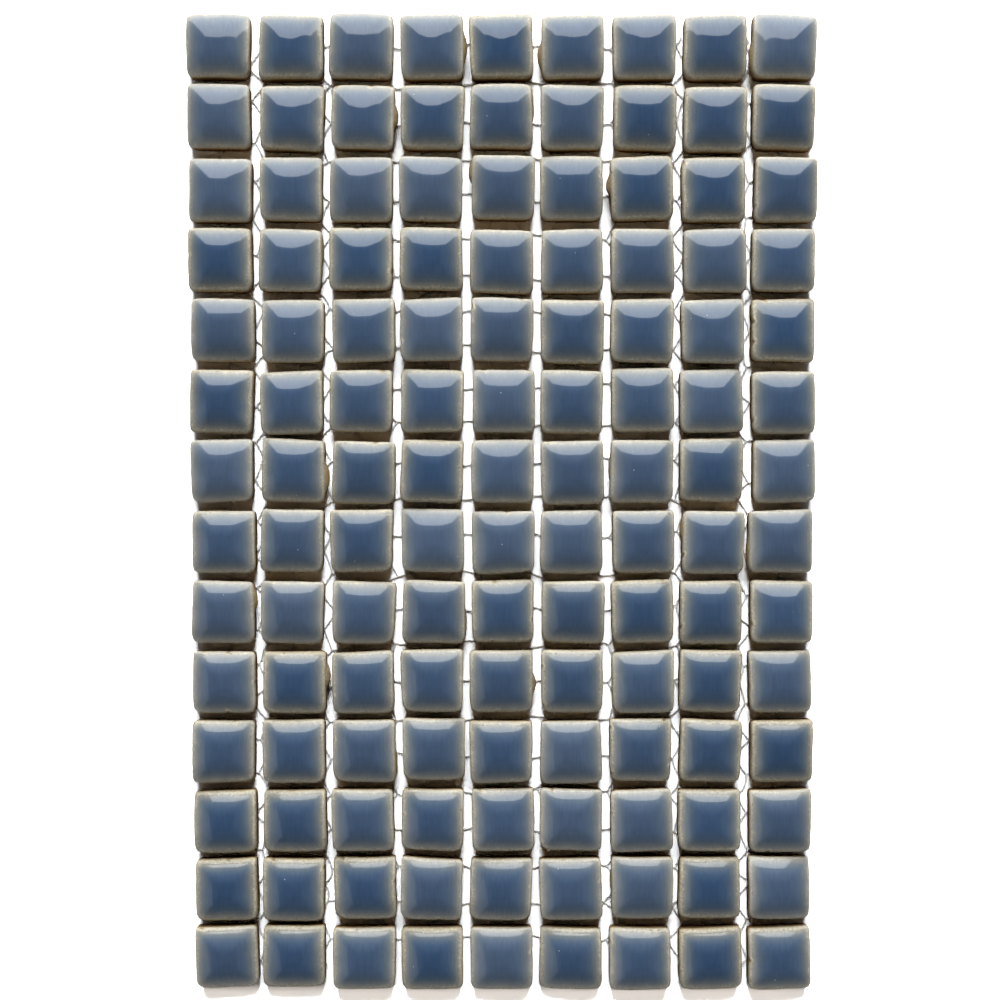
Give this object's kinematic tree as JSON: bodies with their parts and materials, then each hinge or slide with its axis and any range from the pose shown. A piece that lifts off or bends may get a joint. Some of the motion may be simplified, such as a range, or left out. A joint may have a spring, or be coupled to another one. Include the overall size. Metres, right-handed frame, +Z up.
{
  "type": "mosaic tile sheet",
  "caption": "Sheet of small square pillowed ceramic tiles, blue-grey glazed with bare cream rims, glued in open joints to a white hexagonal net so they are laid together.",
  "frame": {"origin": "centre of the sheet on the surface it lies on, which is the net's underside", "axes": "+X across the sheet, +Y along it towards the first row, +Z up through the glazed faces"},
  "size_m": [0.1001, 0.156, 0.0054],
  "materials": {
    "glazed_tile": "gloss",
    "net_yarn": "matte"
  },
  "bodies": {
    "root": {"tile_row_01": "glazed_tile", "tile_row_02": "glazed_tile", "tile_row_03": "glazed_tile", "tile_row_04": "glazed_tile", "tile_row_05": "glazed_tile", "tile_row_06": "glazed_tile", "tile_row_07": "glazed_tile", "tile_row_08": "glazed_tile", "tile_row_09": "glazed_tile", "tile_row_10": "glazed_tile", "tile_row_11": "glazed_tile", "tile_row_12": "glazed_tile", "tile_row_13": "glazed_tile", "tile_row_14": "glazed_tile", "net_strip_1": "net_yarn", "net_strip_2": "net_yarn", "net_strip_3": "net_yarn"}
  },
  "joints": []
}
